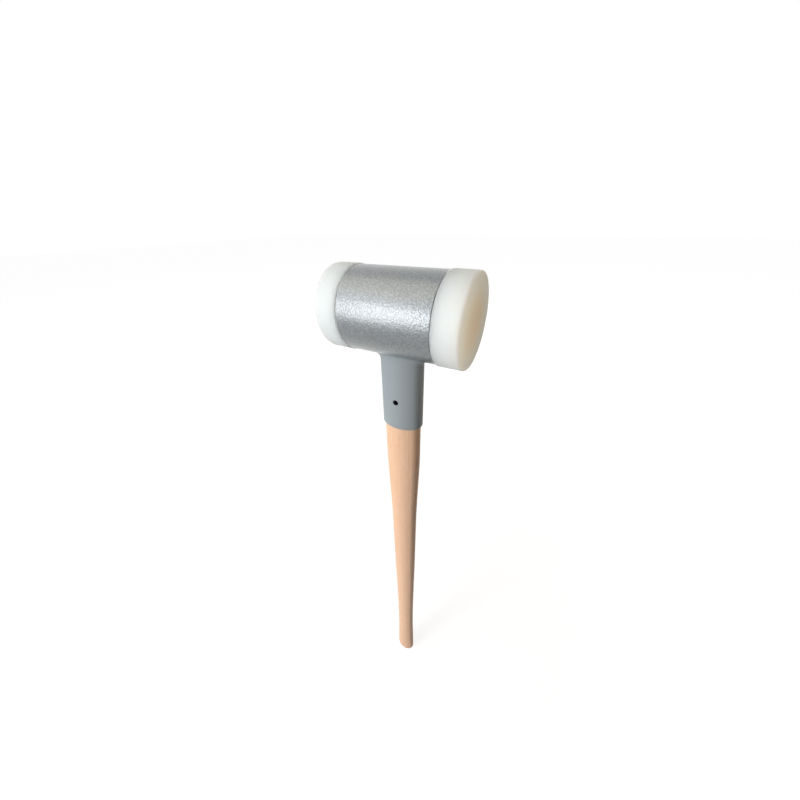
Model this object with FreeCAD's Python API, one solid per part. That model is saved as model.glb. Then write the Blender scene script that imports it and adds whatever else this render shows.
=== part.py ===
import FreeCAD
import Part
import os
from FreeCAD import Vector

# Dead blow hammer with a long hickory handle: a steel tube holds loose shot between two nylon faces
# Lengths are millimetres, Z is up, X runs along the head, and the origin is the middle of the handle's butt

# Whole head, and the one overrun that every cut shares
head_diameter = 100.0
overrun = 1.0

# Housing tube, which carries an insert in each end and the shot between them
housing_length = 114.0
housing_end_chamfer = 1.0
chamber_wall = 8.0
seat_wall = 6.0
seat_mouth_chamfer = 0.6

# Nylon face inserts, each a striking head on a grooved spigot that is pressed into the tube
face_length = 29.6
face_overhang = 0.8
face_rim_radius = 2.3
face_back_chamfer = 0.7
spigot_length = 16.0
spigot_clearance = 0.1
spigot_lead_in = 1.5
groove_count = 3
groove_width = 1.6
groove_depth = 0.9

# Steel discs that keep the shot off the nylon, seated on the shoulders inside the tube
disc_thickness = 5.0
disc_clearance = 0.2
disc_edge_chamfer = 0.5

# Heap of loose shot lying in the bottom of the chamber
shot_clearance = 0.3
shot_travel = 10.0
shot_crest_height = 6.0
shot_shoulder_share = 0.64

# Oval handle socket, cut to the round of the housing and welded under its middle
socket_width = 58.8
socket_depth = 40.8
socket_end_radius = 16.5
socket_wall = 2.5
socket_length = 104.5
socket_lip_radius = 1.0
weld_leg = 10.5

# Slotted spring pin that locks the handle in the socket
pin_diameter = 8.0
pin_wall = 1.5
pin_slot_width = 1.6
pin_above_lip = 42.5
pin_recess = 0.6
pin_clearance = 0.05

# Hickory handle, an oval that fills the socket and thins down to the grip
handle_length = 899.0
handle_clearance = 0.15
tenon_top_gap = 1.0
tenon_top_chamfer = 2.0
grip_width = 37.5
grip_depth = 27.5
grip_end_radius = 11.0
butt_edge_radius = 3.0

# Heights above the butt, as shares of the handle's length below the socket, from the top down
# The second number is how far the oval there has grown from the grip's towards the tenon's
handle_outline_shares = (
    (0.924, 1.0),
    (0.86, 0.86),
    (0.775, 0.59),
    (0.6, 0.38),
    (0.35, 0.07),
    (0.2, 0.0),
    (0.05, 0.24),
    (0.0, 0.3),
)

# Places worked out from the sizes
head_radius = head_diameter / 2
head_underside = handle_length + tenon_top_gap
head_axis_height = head_underside + head_radius
chamber_radius = head_radius - chamber_wall
seat_radius = head_radius - seat_wall
face_radius = head_radius + face_overhang
housing_half_length = housing_length / 2
disc_outer_x = housing_half_length - spigot_length
disc_inner_x = disc_outer_x - disc_thickness
face_x = housing_half_length + face_length
lip_height = head_underside - socket_length
pin_height = lip_height + pin_above_lip
tenon_inset = socket_wall + handle_clearance

x_axis = Vector(1, 0, 0)
y_axis = Vector(0, 1, 0)
z_axis = Vector(0, 0, 1)
head_centre = Vector(0, 0, head_axis_height)


def bar_along_x(radius, start, end):
    """Round bar on the head's axis from one x to another."""
    return Part.makeCylinder(radius, end - start, Vector(start, 0, head_axis_height), x_axis)


def oval_wire(width, depth, end_radius, height):
    """Oval outline at a height, long along X, of two end arcs that run smoothly into two flank arcs."""
    long_half = width / 2
    short_half = depth / 2
    end_centre = long_half - end_radius
    flank_radius = (end_centre**2 + short_half**2 - end_radius**2) / (2 * (short_half - end_radius))
    flank_centre = flank_radius - short_half
    reach = end_radius / (flank_radius - end_radius)
    join_x = end_centre * (1 + reach)
    join_y = flank_centre * reach
    ring = [
        Vector(join_x, -join_y, height),
        Vector(long_half, 0, height),
        Vector(join_x, join_y, height),
        Vector(0, short_half, height),
        Vector(-join_x, join_y, height),
        Vector(-long_half, 0, height),
        Vector(-join_x, -join_y, height),
        Vector(0, -short_half, height),
        Vector(join_x, -join_y, height),
    ]
    arcs = [Part.Arc(*ring[start:start + 3]).toShape() for start in range(0, len(ring) - 1, 2)]
    return Part.Wire(arcs)


def socket_oval(inset, height):
    """The socket's oval drawn in by a distance all round."""
    width = socket_width - 2 * inset
    depth = socket_depth - 2 * inset
    return oval_wire(width, depth, socket_end_radius - inset, height)


def socket_bar(inset, bottom, top):
    """Straight bar of the socket's oval, drawn in by a distance, between two heights."""
    return Part.Face(socket_oval(inset, bottom)).extrude(Vector(0, 0, top - bottom))


def turned(outline):
    """Solid turned about the head's axis from an outline of x and radius."""
    points = [Vector(x, 0, head_axis_height + radius) for x, radius in outline]
    edges = [Part.makeLine(a, b) for a, b in zip(points, points[1:] + points[:1])]
    return Part.Face(Part.Wire(edges)).revolve(head_centre, x_axis, 360)


def round_edges(solid, radius):
    """Edges of a turned solid that are whole circles of one radius."""
    return [e for e in solid.Edges if e.Closed and abs(e.BoundBox.ZLength / 2 - radius) < overrun / 2]


def edges_at_height(solid, height):
    """Edges of a solid that lie flat at one height."""
    flat = [e for e in solid.Edges if e.BoundBox.ZLength < overrun / 10]
    return [e for e in flat if abs(e.BoundBox.Center.z - height) < overrun / 10]


def pin_bore():
    """The hole for the spring pin, right through the socket and the handle."""
    start = Vector(0, -socket_depth / 2 - overrun, pin_height)
    return Part.makeCylinder(pin_diameter / 2, socket_depth + 2 * overrun, start, y_axis)


def other_end(solid):
    """The like piece at the other end of the head."""
    copy = solid.copy()
    copy.rotate(head_centre, z_axis, 180)
    return copy


def housing_tube():
    """Steel tube, bored for the shot and counterbored at each end for a disc and an insert."""
    mouth = seat_radius
    bore = chamber_radius
    end = housing_half_length
    outline = (
        (-disc_inner_x, bore),
        (-disc_inner_x, mouth),
        (-end + seat_mouth_chamfer, mouth),
        (-end, mouth + seat_mouth_chamfer),
        (-end, head_radius - housing_end_chamfer),
        (-end + housing_end_chamfer, head_radius),
        (end - housing_end_chamfer, head_radius),
        (end, head_radius - housing_end_chamfer),
        (end, mouth + seat_mouth_chamfer),
        (end - seat_mouth_chamfer, mouth),
        (disc_inner_x, mouth),
        (disc_inner_x, bore),
    )
    return turned(outline)


def face_insert():
    """Nylon insert for the +X end: grooved spigot, shoulder and flat face with a rounded rim."""
    spigot = seat_radius - spigot_clearance
    outline = [
        (disc_outer_x, 0),
        (disc_outer_x, spigot - spigot_lead_in),
        (disc_outer_x + spigot_lead_in, spigot),
    ]
    pitch = (spigot_length - spigot_lead_in) / (groove_count + 1)
    for number in range(groove_count):
        middle = disc_outer_x + spigot_lead_in + pitch * (number + 1)
        outline.append((middle - groove_width / 2, spigot))
        outline.append((middle - groove_width / 2, spigot - groove_depth))
        outline.append((middle + groove_width / 2, spigot - groove_depth))
        outline.append((middle + groove_width / 2, spigot))
    outline += [
        (housing_half_length, spigot),
        (housing_half_length, face_radius - face_back_chamfer),
        (housing_half_length + face_back_chamfer, face_radius),
        (face_x, face_radius),
        (face_x, 0),
    ]
    solid = turned(outline)
    rim = [e for e in round_edges(solid, face_radius) if abs(e.BoundBox.Center.x - face_x) < overrun / 10]
    return solid.makeFillet(face_rim_radius, rim)


def chamber_disc():
    """Steel disc for the +X end of the chamber."""
    radius = seat_radius - disc_clearance
    outline = (
        (disc_inner_x, 0),
        (disc_inner_x, radius - disc_edge_chamfer),
        (disc_inner_x + disc_edge_chamfer, radius),
        (disc_outer_x - disc_edge_chamfer, radius),
        (disc_outer_x, radius - disc_edge_chamfer),
        (disc_outer_x, 0),
    )
    return turned(outline)


def shot_charge():
    """The shot as one heap, round below like the chamber and sloped at both ends."""
    radius = chamber_radius - shot_clearance
    foot = disc_inner_x - shot_clearance - shot_travel
    shoulder = foot * shot_shoulder_share
    floor = head_axis_height - radius
    corners = [
        Vector(-shoulder, -radius, head_axis_height),
        Vector(-foot, -radius, floor),
        Vector(foot, -radius, floor),
        Vector(shoulder, -radius, head_axis_height),
    ]
    crest = Vector(0, -radius, head_axis_height + shot_crest_height)
    edges = [Part.makeLine(a, b) for a, b in zip(corners, corners[1:])]
    edges.append(Part.Arc(corners[-1], crest, corners[0]).toShape())
    side = Part.Face(Part.Wire(edges)).extrude(Vector(0, 2 * radius, 0))
    return side.common(bar_along_x(radius, -foot, foot))


def handle_socket():
    """Oval steel socket with a saddle-cut top, a rounded lip and the hole for the pin."""
    tube = socket_bar(0, lip_height, head_axis_height)
    tube = tube.makeFillet(socket_lip_radius, edges_at_height(tube, lip_height))
    tube = tube.cut(socket_bar(socket_wall, lip_height - overrun, head_axis_height + overrun))
    tube = tube.cut(bar_along_x(head_radius, -socket_width, socket_width))
    return tube.cut(pin_bore())


def socket_weld():
    """Hollow weld bead that rounds the corner between the housing and the socket."""
    bar = bar_along_x(head_radius, -housing_half_length, housing_half_length)
    neck = socket_bar(0, lip_height, head_axis_height)
    joined = bar.fuse(neck)
    corner = [e for e in joined.Edges if in_the_corner(e)]
    return joined.makeFillet(weld_leg, corner).cut(bar).cut(neck)


def in_the_corner(edge):
    """Whether an edge runs where the socket's outside meets the housing's."""
    box = edge.BoundBox
    level = head_underside - overrun < box.ZMin and box.ZMax < head_axis_height
    return level and box.XLength > overrun and box.XMax < housing_half_length - overrun


def spring_pin():
    """Slotted spring pin, rolled from strip, its ends just below the socket's surface."""
    length = socket_depth - 2 * pin_recess
    radius = pin_diameter / 2 - pin_clearance
    start = Vector(0, -length / 2, pin_height)
    pin = Part.makeCylinder(radius, length, start, y_axis)
    bore_start = start - Vector(0, overrun, 0)
    pin = pin.cut(Part.makeCylinder(radius - pin_wall, length + 2 * overrun, bore_start, y_axis))
    slot_corner = bore_start - Vector(pin_slot_width / 2, 0, 0)
    return pin.cut(Part.makeBox(pin_slot_width, length + 2 * overrun, pin_diameter, slot_corner))


def handle_ovals():
    """Outlines of the handle below the socket, from the top down."""
    width_growth = socket_width - 2 * tenon_inset - grip_width
    depth_growth = socket_depth - 2 * tenon_inset - grip_depth
    radius_growth = socket_end_radius - tenon_inset - grip_end_radius
    ovals = []
    for height_share, growth_share in handle_outline_shares:
        width = grip_width + growth_share * width_growth
        depth = grip_depth + growth_share * depth_growth
        end_radius = grip_end_radius + growth_share * radius_growth
        ovals.append(oval_wire(width, depth, end_radius, height_share * lip_height))
    return ovals


def handle():
    """Hickory handle: a straight oval tenon on a long tapering oval shaft with a swelled butt."""
    shoulder = handle_outline_shares[0][0] * lip_height
    tenon = socket_bar(tenon_inset, shoulder, handle_length)
    tenon = tenon.makeChamfer(tenon_top_chamfer, edges_at_height(tenon, handle_length))
    shaft = Part.makeLoft(handle_ovals(), True, False)
    shaft = shaft.makeFillet(butt_edge_radius, edges_at_height(shaft, 0))
    return tenon.fuse(shaft).cut(pin_bore())


def save(node, shape):
    """Write one piece as a STEP file named for its node."""
    solids = shape.Solids
    piece = solids[0] if len(solids) == 1 else Part.Compound(solids)
    piece.exportStep(os.path.join("parts", node + ".step"))
    print(node, len(solids), piece.isValid(), round(piece.Volume))


os.makedirs("parts", exist_ok=True)
right_insert = face_insert()
right_disc = chamber_disc()
save("housing_tube", housing_tube())
save("right_face_insert", right_insert)
save("left_face_insert", other_end(right_insert))
save("right_chamber_disc", right_disc)
save("left_chamber_disc", other_end(right_disc))
save("shot_charge", shot_charge())
save("handle_socket", handle_socket())
save("socket_weld", socket_weld())
save("handle_spring_pin", spring_pin())
save("handle", handle())
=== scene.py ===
"""Dead blow hammer with a long hickory handle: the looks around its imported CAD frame. Metres, Z up."""
import math

import bmesh
import bpy
import numpy
from mathutils import Euler, Matrix, Vector


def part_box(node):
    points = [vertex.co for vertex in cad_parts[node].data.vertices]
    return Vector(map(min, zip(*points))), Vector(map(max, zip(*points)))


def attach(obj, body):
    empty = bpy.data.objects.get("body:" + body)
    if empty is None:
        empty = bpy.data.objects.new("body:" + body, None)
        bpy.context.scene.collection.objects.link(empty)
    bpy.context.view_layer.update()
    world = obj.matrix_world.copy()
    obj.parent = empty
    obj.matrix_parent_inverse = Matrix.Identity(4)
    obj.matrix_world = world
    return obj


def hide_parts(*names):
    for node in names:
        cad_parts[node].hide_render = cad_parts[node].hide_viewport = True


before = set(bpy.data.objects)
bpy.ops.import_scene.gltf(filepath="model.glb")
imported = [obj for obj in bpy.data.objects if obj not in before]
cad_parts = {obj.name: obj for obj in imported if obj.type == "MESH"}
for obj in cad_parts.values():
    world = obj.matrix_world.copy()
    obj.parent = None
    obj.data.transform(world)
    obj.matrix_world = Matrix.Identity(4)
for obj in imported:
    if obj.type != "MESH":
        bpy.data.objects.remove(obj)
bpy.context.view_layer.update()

bl_info = {
    "name": "Dead blow hammer",
    "version": (1, 0, 0),
    "blender": (4, 5, 0),
    "location": "3D View > Sidebar > Hammer",
    "description": "Dresses the frame of a long-handled dead blow hammer",
    "category": "Object",
}

MM = 0.001

# Places that come from the frame: the tube's ends, the middle and radius of the head, and the shot's reach
TUBE_LOW, TUBE_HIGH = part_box("housing_tube")
HEAD_CENTRE = (TUBE_LOW + TUBE_HIGH) / 2
HEAD_RADIUS = (TUBE_HIGH.z - TUBE_LOW.z) / 2
SHOT_LOW, SHOT_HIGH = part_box("shot_charge")

# The painted shade of the seam's gap, a dark line at the tube's +X end: how far before the end it starts, and
# from where on it is full
SEAM_SHADE_START = 0.75 * MM
SEAM_SHADE_FULL = 0.45 * MM

# How deep the fine unevenness goes: the smooth enamel's, the nylon's, the wood's and the steel's
PEEL_DEPTH = 0.08 * MM
SCUFF_DEPTH = 0.05 * MM
FIBRE_DEPTH = 0.05 * MM
MARK_DEPTH = 0.03 * MM

# The nylon: how wide its clouds are, how far they move the edge of the warm shade painted in the middle of
# its faces, between which shares of the head's radius that painted shade fades out, and how wide a scuff is,
# drawn coarser than real so that it shows
CLOUD = 16 * MM
CLOUD_SHIFT = 8 * MM
MIDDLE_SHADE_FADE = (0.15, 1.05)
SCUFF = 1.2 * MM

# The hickory: where the handle stands from the middle of the trunk, how it leans in it, and what is left
# of each pattern's changes along the grain, so that 0.04 draws the pattern out 25 times
TRUNK_OFFSET = (70 * MM, 45 * MM, 0.0)
TRUNK_LEAN = (math.radians(1.2), math.radians(-0.9), 0.0)
RING_STRETCH = 0.04
FIBRE_STRETCH = 0.025
PORE_STRETCH = 0.06

# How wide the marks on each steel are, drawn coarser than real so that they show
PIN_MARK = 0.5 * MM
DISC_MARK = 0.4 * MM
SHOT_MARK = 0.6 * MM

# The loose shot: how many balls, the seed of their first places and of their turns, and the faces round one
# ball and from its pole to its other pole
SHOT_COUNT = 600
SHOT_SEED = 11
BALL_SEGMENTS = 8
BALL_RINGS = 6

# How the shot settles: the number of steps, the first drop in diameters, how often balls that overlap are
# pushed apart in each step, and the share of the overlap that a push moves each of the two
SHOT_STEPS = 150
SHOT_DROP = 0.08
SHOT_PUSHES = 3
SHOT_PUSH = 0.35

# A Wave texture of scale 1 repeats after this length
WAVE_LENGTH = math.pi / 10

# Sockets of a Mix node set to colours. They go by number, because its other kinds have the same names
MIX_FACTOR, MIX_FIRST, MIX_SECOND = 0, 6, 7
MIX_COLOUR = 2

# The camera that took the photograph, found from the head's outlines in its 800 pixel frame
FRAME_PIXELS = 800
FOCAL_PIXELS = 289.05
SENSOR_MM = 36.0
CAMERA_FROM_HEAD = Vector((161.812, -295.851, 93.75)) * MM
CAMERA_TURN_DEG = (57.7818, 0.9844, 28.7297)
CAMERA_CLIP = 10 * MM

# The pale floor: its colour where it is seen, its colour for the light that it sends back, and how bright it
# glows where it is seen, near the hammer and far off, each as a distance from the foot and a level
FLOOR_HALF_WIDTH = 20.0
FLOOR_COLOUR = "969696"
FLOOR_BOUNCE = "C4C4C4"
FLOOR_NEAR = (0.4, 0.84)
FLOOR_FAR = (2.6, 0.98)

# The dim sky that lights the hammer. Where the sky is seen, it is white
SKY_TINT = "FFFAF0"
SKY_LEVEL = 0.02

# The soft lamps: name, azimuth from the camera's side of the object towards +X, elevation, distance, width,
# height, the level that a white surface facing the lamp is lit to, and tint
LAMPS = (
    ("front_window", -30, 8, 4.0, 1.4, 2.5, 0.64, "FCFDFF"),
    ("window_top", -43, 30, 4.0, 2.4, 2.4, 0.24, "FCFDFF"),
    ("front_fill", -2, 2, 4.0, 2.2, 1.8, 0.12, "FCFDFF"),
    ("left_skylight", -60, 58, 4.0, 3.4, 3.0, 0.35, "FFF8E8"),
    ("right_card", 80, 0, 0.15, 0.13, 0.13, 0.166, "FFDFB2"),
    ("back_wall", 170, 20, 4.0, 2.5, 2.5, 0.35, "FFF4E6"),
)


def linear(text):
    """Linear red, green, blue and alpha of an sRGB hex colour."""
    channels = [int(text[i:i + 2], 16) / 255 for i in (0, 2, 4)]
    return [c / 12.92 if c <= 0.04045 else ((c + 0.055) / 1.055) ** 2.4 for c in channels] + [1.0]


def scaled(colour, factor):
    """A colour made lighter or darker."""
    return [channel * factor for channel in colour[:3]] + [1.0]


class HammerSizes(bpy.types.PropertyGroup):
    """Sizes of the finishes and of the loose shot."""

    dimple: bpy.props.FloatProperty(
        name="Hammertone dimple",
        description="Width of one dimple of the hammertone enamel",
        default=2.1 * MM,
        unit="LENGTH",
    )
    dimple_depth: bpy.props.FloatProperty(
        name="Dimple depth",
        description="Depth of the hammertone's dimples",
        default=0.16 * MM,
        unit="LENGTH",
    )
    peel: bpy.props.FloatProperty(
        name="Orange peel",
        description="Length of one wave in the socket's smooth enamel",
        default=3.0 * MM,
        unit="LENGTH",
    )
    glow: bpy.props.FloatProperty(
        name="Nylon glow",
        description="How far light spreads inside the nylon",
        default=30.0 * MM,
        unit="LENGTH",
    )
    ring: bpy.props.FloatProperty(
        name="Growth ring",
        description="Spacing of the hickory's growth rings",
        default=3.4 * MM,
        unit="LENGTH",
    )
    fibre: bpy.props.FloatProperty(
        name="Wood fibre",
        description="Width of the finest streaks in the hickory, coarser than real so that they show",
        default=0.7 * MM,
        unit="LENGTH",
    )
    ball: bpy.props.FloatProperty(
        name="Shot ball",
        description="Diameter of one ball of the shot",
        default=6.5 * MM,
        unit="LENGTH",
    )


def colour_property(name, description, text):
    """A colour that a user can change, with an sRGB hex value as its default."""
    return bpy.props.FloatVectorProperty(
        name=name, description=description, default=linear(text), subtype="COLOR", size=4, min=0.0, max=1.0
    )


class HammerColours(bpy.types.PropertyGroup):
    """Base colours of the finishes."""

    enamel: colour_property("Enamel", "Silver-grey of the hammertone enamel", "6E7477")
    socket: colour_property("Socket enamel", "Silver-grey of the smooth enamel", "9FA7AB")
    nylon: colour_property("Nylon", "Natural cast nylon", "ECF6F5")
    # Painted shade for the middle of the nylon's faces, standing for light that comes in at the rim and dims
    # inwards
    nylon_middle_shade: colour_property("Nylon core", "Ivory middle of the cast nylon bar", "E6DCCA")
    early_wood: colour_property("Early wood", "Pale part of the hickory's rings", "F4D0B3")
    late_wood: colour_property("Late wood", "Darker part of the hickory's rings", "EEBD98")
    pores: colour_property("Pores", "Open pores in the hickory", "C09470")
    steel: colour_property("Bare steel", "Turned steel inside the head", "A8A9AA")
    # Also used as the painted shade of the seam's gap at the tube's +X end
    black_steel_and_seam_shade: colour_property("Black steel", "Oxide-blacked spring steel", "26272A")


def add(tree, kind, inputs=None, stops=None, **settings):
    """Adds a node: its inputs take an output of another node or a value, and stops fill its colour ramp."""
    node = tree.nodes.new(kind)
    for name, value in settings.items():
        setattr(node, name, value)
    for name, value in (inputs or {}).items():
        if isinstance(value, bpy.types.NodeSocket):
            tree.links.new(value, node.inputs[name])
        else:
            node.inputs[name].default_value = value
    if stops:
        elements = node.color_ramp.elements
        elements.remove(elements[1])
        elements[0].position, elements[0].color = stops[0]
        for position, colour in stops[1:]:
            elements.new(position).color = colour
    return node


def new_material(name):
    """An empty node material, its tree and the Object coordinates."""
    material = bpy.data.materials.new(name)
    material.use_nodes = True
    tree = material.node_tree
    tree.nodes.clear()
    place = add(tree, "ShaderNodeTexCoord").outputs["Object"]
    return material, tree, place


def finish_material(tree, shader):
    """Links a shader to a new output."""
    add(tree, "ShaderNodeOutputMaterial", {"Surface": shader})


def hammertone_enamel(sizes, colours):
    """Aluminium-filled enamel, sprayed and stoved.

    It draws up into shallow round dimples. Their floors are bright with flake, their rims are a little
    darker and the clear resin on top is glossy, so a highlight breaks into small glints while shaded parts
    look almost even. One flake is far too fine to show, so what is drawn is how the flakes gather in patches.
    At the +X end of the tube a thin dark line is painted in as the shade of the seam's gap; the -X end has
    none.
    """
    material, tree, place = new_material("hammertone_enamel")
    # The dimples are pulled about, so that no two are alike
    wander = add(tree, "ShaderNodeTexNoise", {
        "Vector": place,
        "Scale": 1.2 / sizes.dimple,
        "Detail": 2.0,
    })
    shift = add(tree, "ShaderNodeVectorMath", {
        0: wander.outputs["Color"],
        1: (1.2 * sizes.dimple,) * 3,
        2: place,
    }, operation="MULTIPLY_ADD")
    dimples = add(tree, "ShaderNodeTexVoronoi", {
        "Vector": shift.outputs["Vector"],
        "Scale": 1 / sizes.dimple,
        "Smoothness": 0.15,
    }, feature="SMOOTH_F1")
    flake = add(tree, "ShaderNodeTexNoise", {
        "Vector": place,
        "Scale": 1.5 / sizes.dimple,
        "Detail": 2.0,
        "Roughness": 0.6,
    })
    height = add(tree, "ShaderNodeMath", {
        0: flake.outputs["Fac"],
        1: 0.6,
        2: dimples.outputs["Distance"],
    }, operation="MULTIPLY_ADD")
    tone = add(tree, "ShaderNodeValToRGB", {"Fac": height.outputs["Value"]}, (
        (0.45, scaled(colours.enamel, 1.26)),
        (0.95, scaled(colours.enamel, 0.72)),
    ))
    bump = add(tree, "ShaderNodeBump", {
        "Height": height.outputs["Value"],
        "Strength": 1.0,
        "Distance": sizes.dimple_depth,
    })
    gloss = add(tree, "ShaderNodeMapRange", {
        "Value": flake.outputs["Fac"],
        "From Min": 0.3,
        "From Max": 0.7,
        "To Min": 0.3,
        "To Max": 0.42,
    })
    along = add(tree, "ShaderNodeSeparateXYZ", {"Vector": place})
    # Painted shade: a thin dark line in the blacked steel's colour at the +X end stands for the shadow in the
    # seam's gap
    seam_shade = add(tree, "ShaderNodeMapRange", {
        "Value": along.outputs["X"],
        "From Min": TUBE_HIGH.x - SEAM_SHADE_START,
        "From Max": TUBE_HIGH.x - SEAM_SHADE_FULL,
    })
    colour = add(tree, "ShaderNodeMix", {
        MIX_FACTOR: seam_shade.outputs["Result"],
        MIX_FIRST: tone.outputs["Color"],
        MIX_SECOND: colours.black_steel_and_seam_shade,
    }, data_type="RGBA")
    shader = add(tree, "ShaderNodeBsdfPrincipled", {
        "Base Color": colour.outputs[MIX_COLOUR],
        "Normal": bump.outputs["Normal"],
        "Roughness": gloss.outputs["Result"],
        "Metallic": 0.37,
        "Coat Weight": 1.0,
        "Coat Roughness": 0.28,
        "Coat IOR": 1.64,
        "Coat Normal": bump.outputs["Normal"],
    })
    finish_material(tree, shader.outputs["BSDF"])
    return material


def smooth_enamel(sizes, colours):
    """The same enamel laid on thin.

    It is an even grey film with little gloss, a faint orange peel and fine grit, and it has no dimples.
    """
    material, tree, place = new_material("smooth_enamel")
    peel = add(tree, "ShaderNodeTexNoise", {"Vector": place, "Scale": 1 / sizes.peel, "Detail": 2.0})
    grit = add(tree, "ShaderNodeTexNoise", {"Vector": place, "Scale": 3 / sizes.peel, "Detail": 3.0})
    tone = add(tree, "ShaderNodeValToRGB", {"Fac": grit.outputs["Fac"]}, (
        (0.3, scaled(colours.socket, 0.93)),
        (0.7, colours.socket),
    ))
    bump = add(tree, "ShaderNodeBump", {
        "Height": peel.outputs["Fac"],
        "Strength": 0.5,
        "Distance": PEEL_DEPTH,
    })
    shader = add(tree, "ShaderNodeBsdfPrincipled", {
        "Base Color": tone.outputs["Color"],
        "Normal": bump.outputs["Normal"],
        "Roughness": 0.5,
        "Specular IOR Level": 0.15,
    })
    finish_material(tree, shader.outputs["BSDF"])
    return material


def cast_nylon(sizes, colours):
    """Natural cast nylon, turned to size.

    Light of every colour spreads deep inside it, so it looks milky and its shades run softly together.
    The warm, darker middle of its faces is painted shade, standing for light that comes in at the rim and
    dims towards the middle; it fades in faint clouds to the cooler white of the rim, and fine scuffs from the
    turning keep the surface rather dull.
    """
    material, tree, place = new_material("cast_nylon")
    # Flattened along the head, a place is as long as it is far from the head's axis
    across = add(tree, "ShaderNodeMapping", {
        "Vector": place,
        "Location": -HEAD_CENTRE,
        "Scale": (0.0, 1.0, 1.0),
    })
    radius = add(tree, "ShaderNodeVectorMath", {0: across.outputs["Vector"]}, operation="LENGTH")
    cloud = add(tree, "ShaderNodeTexNoise", {"Vector": place, "Scale": 1 / CLOUD, "Detail": 3.0})
    clouded = add(tree, "ShaderNodeMath", {
        0: cloud.outputs["Fac"],
        1: CLOUD_SHIFT,
        2: radius.outputs["Value"],
    }, operation="MULTIPLY_ADD")
    # Painted shade: the faces' middle takes the warm, darker colour and the rim the cooler white, standing
    # for light that comes in at the rim
    middle_shade_fade = add(tree, "ShaderNodeMapRange", {
        "Value": clouded.outputs["Value"],
        "From Min": MIDDLE_SHADE_FADE[0] * HEAD_RADIUS,
        "From Max": MIDDLE_SHADE_FADE[1] * HEAD_RADIUS,
    }, interpolation_type="SMOOTHSTEP")
    tone = add(tree, "ShaderNodeValToRGB", {"Fac": middle_shade_fade.outputs["Result"]}, (
        (0.0, colours.nylon_middle_shade),
        (1.0, colours.nylon),
    ))
    scuff = add(tree, "ShaderNodeTexNoise", {"Vector": place, "Scale": 1 / SCUFF, "Detail": 4.0})
    bump = add(tree, "ShaderNodeBump", {
        "Height": scuff.outputs["Fac"],
        "Strength": 0.3,
        "Distance": SCUFF_DEPTH,
    })
    shader = add(tree, "ShaderNodeBsdfPrincipled", {
        "Base Color": tone.outputs["Color"],
        "Normal": bump.outputs["Normal"],
        "Roughness": 0.55,
        "IOR": 1.53,
        "Specular IOR Level": 0.3,
        "Subsurface Weight": 1.0,
        "Subsurface Scale": sizes.glow,
        "Subsurface Radius": (1.0, 0.96, 0.9),
    })
    finish_material(tree, shader.outputs["BSDF"])
    return material


def lacquered_hickory(sizes, colours):
    """Hickory, turned on a copy lathe, sanded and clear lacquered.

    The growth rings are slices of tall thin cylinders, so they are lines along the sides and arcs on the
    butt. Short pores and fine fibres run with them, and the lacquer lies over all as a thin film with little
    gloss.
    """
    material, tree, place = new_material("lacquered_hickory")
    trunk = add(tree, "ShaderNodeMapping", {
        "Vector": place,
        "Location": TRUNK_OFFSET,
        "Rotation": TRUNK_LEAN,
        "Scale": (1.0, 1.0, RING_STRETCH),
    })
    rings = add(tree, "ShaderNodeTexWave", {
        "Vector": trunk.outputs["Vector"],
        "Scale": WAVE_LENGTH / sizes.ring,
        "Distortion": 3.0,
        "Detail": 3.0,
        "Detail Scale": 0.35,
    }, wave_type="RINGS", rings_direction="Z", wave_profile="SAW")
    drawn = add(tree, "ShaderNodeMapping", {"Vector": place, "Scale": (1.0, 1.0, FIBRE_STRETCH)})
    fibre = add(tree, "ShaderNodeTexNoise", {
        "Vector": drawn.outputs["Vector"],
        "Scale": 1 / sizes.fibre,
        "Detail": 3.0,
        "Roughness": 0.6,
    })
    grain = add(tree, "ShaderNodeMath", {
        0: rings.outputs["Fac"],
        1: 0.45,
        2: fibre.outputs["Fac"],
    }, operation="MULTIPLY_ADD")
    tone = add(tree, "ShaderNodeValToRGB", {"Fac": grain.outputs["Value"]}, (
        (0.4, colours.early_wood),
        (1.0, colours.late_wood),
    ))
    short = add(tree, "ShaderNodeMapping", {"Vector": place, "Scale": (1.0, 1.0, PORE_STRETCH)})
    pores = add(tree, "ShaderNodeTexNoise", {
        "Vector": short.outputs["Vector"],
        "Scale": 1.4 / sizes.fibre,
        "Detail": 1.0,
    })
    open_pores = add(tree, "ShaderNodeMapRange", {
        "Value": pores.outputs["Fac"],
        "From Min": 0.62,
        "From Max": 0.74,
        "To Max": 0.5,
    })
    colour = add(tree, "ShaderNodeMix", {
        MIX_FACTOR: open_pores.outputs["Result"],
        MIX_FIRST: tone.outputs["Color"],
        MIX_SECOND: colours.pores,
    }, data_type="RGBA")
    bump = add(tree, "ShaderNodeBump", {
        "Height": fibre.outputs["Fac"],
        "Strength": 0.3,
        "Distance": FIBRE_DEPTH,
    })
    shader = add(tree, "ShaderNodeBsdfPrincipled", {
        "Base Color": colour.outputs[MIX_COLOUR],
        "Normal": bump.outputs["Normal"],
        "Roughness": 0.55,
        "Specular IOR Level": 0.2,
    })
    finish_material(tree, shader.outputs["BSDF"])
    return material


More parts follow.
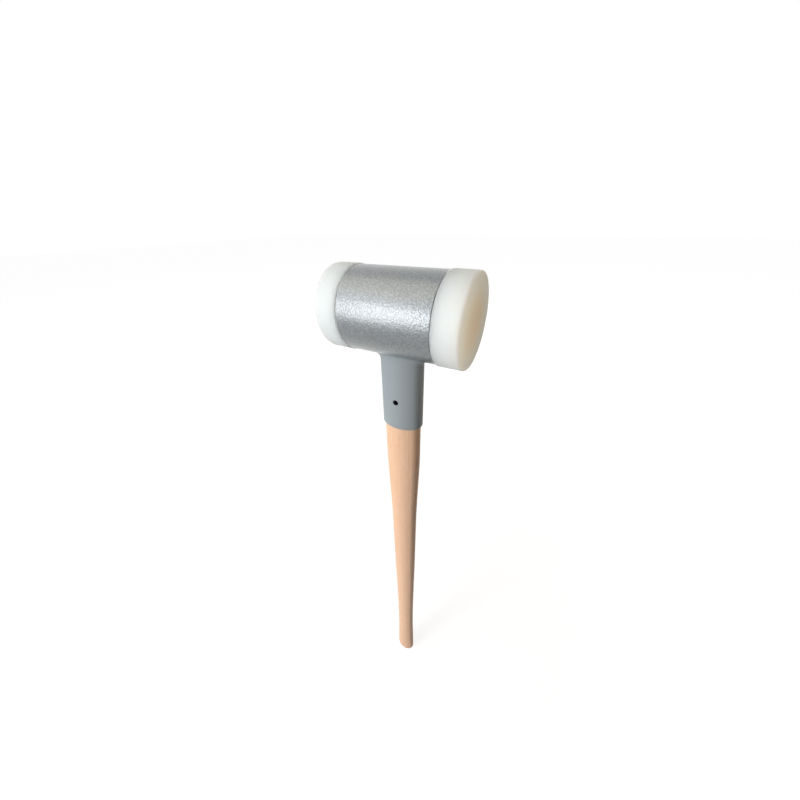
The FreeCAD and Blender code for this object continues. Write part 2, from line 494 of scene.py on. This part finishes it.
def bare_steel(name, colour, mark_size, roughness):
    """Uncoated steel with fine tool marks, which darken it in spots and blur what it mirrors."""
    material, tree, place = new_material(name)
    marks = add(tree, "ShaderNodeTexNoise", {"Vector": place, "Scale": 1 / mark_size, "Detail": 3.0})
    tone = add(tree, "ShaderNodeValToRGB", {"Fac": marks.outputs["Fac"]}, (
        (0.3, scaled(colour, 0.75)),
        (0.7, colour),
    ))
    bump = add(tree, "ShaderNodeBump", {
        "Height": marks.outputs["Fac"],
        "Strength": 0.3,
        "Distance": MARK_DEPTH,
    })
    shader = add(tree, "ShaderNodeBsdfPrincipled", {
        "Base Color": tone.outputs["Color"],
        "Normal": bump.outputs["Normal"],
        "Metallic": 1.0,
        "Roughness": roughness,
    })
    finish_material(tree, shader.outputs["BSDF"])
    return material


def dress(node, material):
    """Gives a carried-over piece its finish."""
    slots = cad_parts[node].data.materials
    slots.clear()
    slots.append(material)


class HAMMER_OT_housing_tube(bpy.types.Operator):
    """Finish the steel tube of the head in hammertone enamel"""

    bl_idname = "hammer.housing_tube"
    bl_label = "Housing tube"

    def execute(self, context):
        scene = context.scene
        dress("housing_tube", hammertone_enamel(scene.hammer_sizes, scene.hammer_colours))
        return {"FINISHED"}


class HAMMER_OT_handle_socket(bpy.types.Operator):
    """Finish the handle's socket and its weld in smooth enamel"""

    bl_idname = "hammer.handle_socket"
    bl_label = "Handle socket"

    def execute(self, context):
        scene = context.scene
        material = smooth_enamel(scene.hammer_sizes, scene.hammer_colours)
        dress("handle_socket", material)
        dress("socket_weld", material)
        return {"FINISHED"}


class HAMMER_OT_face_inserts(bpy.types.Operator):
    """Finish the two nylon faces"""

    bl_idname = "hammer.face_inserts"
    bl_label = "Nylon faces"

    def execute(self, context):
        scene = context.scene
        material = cast_nylon(scene.hammer_sizes, scene.hammer_colours)
        dress("right_face_insert", material)
        dress("left_face_insert", material)
        return {"FINISHED"}


class HAMMER_OT_handle(bpy.types.Operator):
    """Finish the hickory handle"""

    bl_idname = "hammer.handle"
    bl_label = "Handle"

    def execute(self, context):
        scene = context.scene
        dress("handle", lacquered_hickory(scene.hammer_sizes, scene.hammer_colours))
        return {"FINISHED"}


class HAMMER_OT_spring_pin(bpy.types.Operator):
    """Finish the spring pin that holds the handle"""

    bl_idname = "hammer.spring_pin"
    bl_label = "Spring pin"

    def execute(self, context):
        colours = context.scene.hammer_colours
        dress("handle_spring_pin", bare_steel("blacked_spring_steel", colours.black_steel_and_seam_shade, PIN_MARK, 0.5))
        return {"FINISHED"}


class HAMMER_OT_chamber_discs(bpy.types.Operator):
    """Finish the steel discs that close the shot's chamber"""

    bl_idname = "hammer.chamber_discs"
    bl_label = "Chamber discs"

    def execute(self, context):
        colours = context.scene.hammer_colours
        turned = bare_steel("turned_steel", colours.steel, DISC_MARK, 0.35)
        dress("right_chamber_disc", turned)
        dress("left_chamber_disc", turned)
        return {"FINISHED"}


def settled_balls(count, diameter):
    """Places of balls that have dropped into the round chamber and rest on each other.

    They start at random all over the shot's stretch of the chamber. Each step lets them fall, less and less,
    and then pushes apart those that overlap, and the walls hold them in.
    """
    chance = numpy.random.default_rng(SHOT_SEED)
    half_length = (SHOT_HIGH.x - SHOT_LOW.x) / 2 - diameter / 2
    room = HEAD_CENTRE.z - SHOT_LOW.z - diameter / 2
    places = chance.uniform(-1.0, 1.0, (count, 3)) * (half_length, room, room)
    for step in range(SHOT_STEPS):
        places[:, 2] -= SHOT_DROP * diameter * (1 - step / SHOT_STEPS)
        for _ in range(SHOT_PUSHES):
            squares = sum((places[:, axis, None] - places[:, axis]) ** 2 for axis in range(3))
            one, other = numpy.nonzero(numpy.triu(squares < diameter ** 2, 1))
            apart = places[one] - places[other]
            distance = numpy.linalg.norm(apart, axis=1)[:, None]
            push = SHOT_PUSH * apart * (diameter / distance - 1)
            numpy.add.at(places, one, push)
            numpy.add.at(places, other, -push)
            places[:, 0] = numpy.clip(places[:, 0], -half_length, half_length)
            out = numpy.hypot(places[:, 1], places[:, 2])
            places[:, 1:] *= numpy.minimum(1.0, room / out)[:, None]
    return places


class HAMMER_OT_loose_shot(bpy.types.Operator):
    """Pour the loose steel shot that slides to and fro in the chamber"""

    bl_idname = "hammer.loose_shot"
    bl_label = "Loose shot"

    def execute(self, context):
        sizes = context.scene.hammer_sizes
        colours = context.scene.hammer_colours
        ball = bmesh.new()
        bmesh.ops.create_uvsphere(
            ball, u_segments=BALL_SEGMENTS, v_segments=BALL_RINGS, radius=sizes.ball / 2
        )
        mesh = bpy.data.meshes.new("loose_shot")
        ball.to_mesh(mesh)
        ball.free()
        balls = bmesh.new()
        chance = numpy.random.default_rng(SHOT_SEED)
        for place in settled_balls(SHOT_COUNT, sizes.ball):
            turn = Euler(chance.uniform(0.0, math.tau, 3)).to_matrix().to_4x4()
            move = Matrix.Translation(HEAD_CENTRE + Vector(place)) @ turn
            mesh.transform(move)
            balls.from_mesh(mesh)
            mesh.transform(move.inverted())
        for face in balls.faces:
            face.smooth = True
        balls.to_mesh(mesh)
        balls.free()
        shot = bpy.data.objects.new("loose_shot", mesh)
        context.collection.objects.link(shot)
        mesh.materials.append(bare_steel("shot_steel", colours.steel, SHOT_MARK, 0.45))
        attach(shot, "shot")
        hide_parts("shot_charge")
        return {"FINISHED"}


def round_the_head(azimuth, elevation, distance):
    """A place at a distance from the head, azimuth from the camera's side of the object towards +X."""
    across = math.radians(azimuth)
    up = math.radians(elevation)
    way = Vector((math.sin(across) * math.cos(up), -math.cos(across) * math.cos(up), math.sin(up)))
    return HEAD_CENTRE + distance * way


def seen_white(tree):
    """One for the rays that see white surroundings: the camera's, and those that gloss and glass send on."""
    rays = add(tree, "ShaderNodeLightPath")
    seen = rays.outputs["Is Camera Ray"]
    for kind in ("Is Glossy Ray", "Is Transmission Ray"):
        either = add(tree, "ShaderNodeMath", {0: seen, 1: rays.outputs[kind]}, operation="MAXIMUM")
        seen = either.outputs["Value"]
    return seen


def make_floor(context):
    """A wide pale floor that is white to the camera and keeps the hammer's shadow."""
    mesh = bpy.data.meshes.new("floor")
    grid = bmesh.new()
    bmesh.ops.create_grid(grid, x_segments=1, y_segments=1, size=FLOOR_HALF_WIDTH)
    grid.to_mesh(mesh)
    grid.free()
    floor = bpy.data.objects.new("floor", mesh)
    context.collection.objects.link(floor)
    material, tree, place = new_material("pale_floor")
    seen = seen_white(tree)
    colour = add(tree, "ShaderNodeMix", {
        MIX_FACTOR: seen,
        MIX_FIRST: linear(FLOOR_BOUNCE),
        MIX_SECOND: linear(FLOOR_COLOUR),
    }, data_type="RGBA")
    matt = add(tree, "ShaderNodeBsdfDiffuse", {"Color": colour.outputs[MIX_COLOUR]})
    away = add(tree, "ShaderNodeVectorMath", {0: place}, operation="LENGTH")
    lift = add(tree, "ShaderNodeMapRange", {
        "Value": away.outputs["Value"],
        "From Min": FLOOR_NEAR[0],
        "From Max": FLOOR_FAR[0],
        "To Min": FLOOR_NEAR[1],
        "To Max": FLOOR_FAR[1],
    })
    level = add(tree, "ShaderNodeMath", {0: seen, 1: lift.outputs["Result"]}, operation="MULTIPLY")
    white = add(tree, "ShaderNodeEmission", {"Strength": level.outputs["Value"]})
    both = add(tree, "ShaderNodeAddShader", {0: matt.outputs["BSDF"], 1: white.outputs["Emission"]})
    finish_material(tree, both.outputs["Shader"])
    mesh.materials.append(material)


def make_sky(context):
    """An even sky, dim where it lights the hammer and white where it is seen."""
    world = bpy.data.worlds.new("studio")
    world.use_nodes = True
    tree = world.node_tree
    tree.nodes.clear()
    dim = add(tree, "ShaderNodeBackground", {"Color": linear(SKY_TINT), "Strength": SKY_LEVEL})
    white = add(tree, "ShaderNodeBackground", {"Color": (1.0, 1.0, 1.0, 1.0), "Strength": 1.0})
    sky = add(tree, "ShaderNodeMixShader", {
        0: seen_white(tree),
        1: dim.outputs["Background"],
        2: white.outputs["Background"],
    })
    add(tree, "ShaderNodeOutputWorld", {"Surface": sky.outputs["Shader"]})
    context.scene.world = world


def make_lamps(context):
    """Soft lamps that all point at the head."""
    for name, azimuth, elevation, distance, width, height, level, tint in LAMPS:
        light = bpy.data.lights.new(name, "AREA")
        light.shape = "RECTANGLE"
        light.size = width
        light.size_y = height
        light.energy = level * (math.pi * distance) ** 2
        light.color = linear(tint)[:3]
        lamp = bpy.data.objects.new(name, light)
        lamp.location = round_the_head(azimuth, elevation, distance)
        lamp.rotation_euler = (HEAD_CENTRE - lamp.location).to_track_quat("-Z", "Y").to_euler()
        lamp.visible_camera = False
        context.collection.objects.link(lamp)


def make_camera(context):
    """The photograph's camera."""
    camera = bpy.data.cameras.new("photo_camera")
    camera.sensor_width = SENSOR_MM
    camera.lens = FOCAL_PIXELS * SENSOR_MM / FRAME_PIXELS
    camera.clip_start = CAMERA_CLIP
    holder = bpy.data.objects.new("photo_camera", camera)
    holder.location = HEAD_CENTRE + CAMERA_FROM_HEAD
    holder.rotation_euler = Euler([math.radians(turn) for turn in CAMERA_TURN_DEG], "XYZ")
    context.collection.objects.link(holder)
    context.scene.camera = holder


class HAMMER_OT_stage(bpy.types.Operator):
    """Make the white floor, the sky, the lamps and the camera"""

    bl_idname = "hammer.stage"
    bl_label = "Stage"

    def execute(self, context):
        make_floor(context)
        make_sky(context)
        make_lamps(context)
        make_camera(context)
        context.scene.view_settings.view_transform = "Standard"
        return {"FINISHED"}


class HAMMER_PT_panel(bpy.types.Panel):
    """Sizes, colours and pieces of the hammer"""

    bl_idname = "HAMMER_PT_panel"
    bl_label = "Hammer"
    bl_space_type = "VIEW_3D"
    bl_region_type = "UI"
    bl_category = "Hammer"

    def draw(self, context):
        scene = context.scene
        for group in (scene.hammer_sizes, scene.hammer_colours):
            for name in group.__annotations__:
                self.layout.prop(group, name)
        for piece in PIECES:
            self.layout.operator(piece.bl_idname)


PIECES = (
    HAMMER_OT_housing_tube,
    HAMMER_OT_handle_socket,
    HAMMER_OT_face_inserts,
    HAMMER_OT_handle,
    HAMMER_OT_spring_pin,
    HAMMER_OT_chamber_discs,
    HAMMER_OT_loose_shot,
    HAMMER_OT_stage,
)
CLASSES = (HammerSizes, HammerColours) + PIECES + (HAMMER_PT_panel,)


def register():
    """Registers the classes and gives the scene its sizes and colours."""
    for cls in CLASSES:
        bpy.utils.register_class(cls)
    bpy.types.Scene.hammer_sizes = bpy.props.PointerProperty(type=HammerSizes)
    bpy.types.Scene.hammer_colours = bpy.props.PointerProperty(type=HammerColours)


def unregister():
    """Takes back what register did."""
    del bpy.types.Scene.hammer_colours
    del bpy.types.Scene.hammer_sizes
    for cls in reversed(CLASSES):
        bpy.utils.unregister_class(cls)


def main():
    """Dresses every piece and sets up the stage."""
    register()
    bpy.ops.hammer.housing_tube()
    bpy.ops.hammer.handle_socket()
    bpy.ops.hammer.face_inserts()
    bpy.ops.hammer.handle()
    bpy.ops.hammer.spring_pin()
    bpy.ops.hammer.chamber_discs()
    bpy.ops.hammer.loose_shot()
    bpy.ops.hammer.stage()


if __name__ == "__main__":
    main()
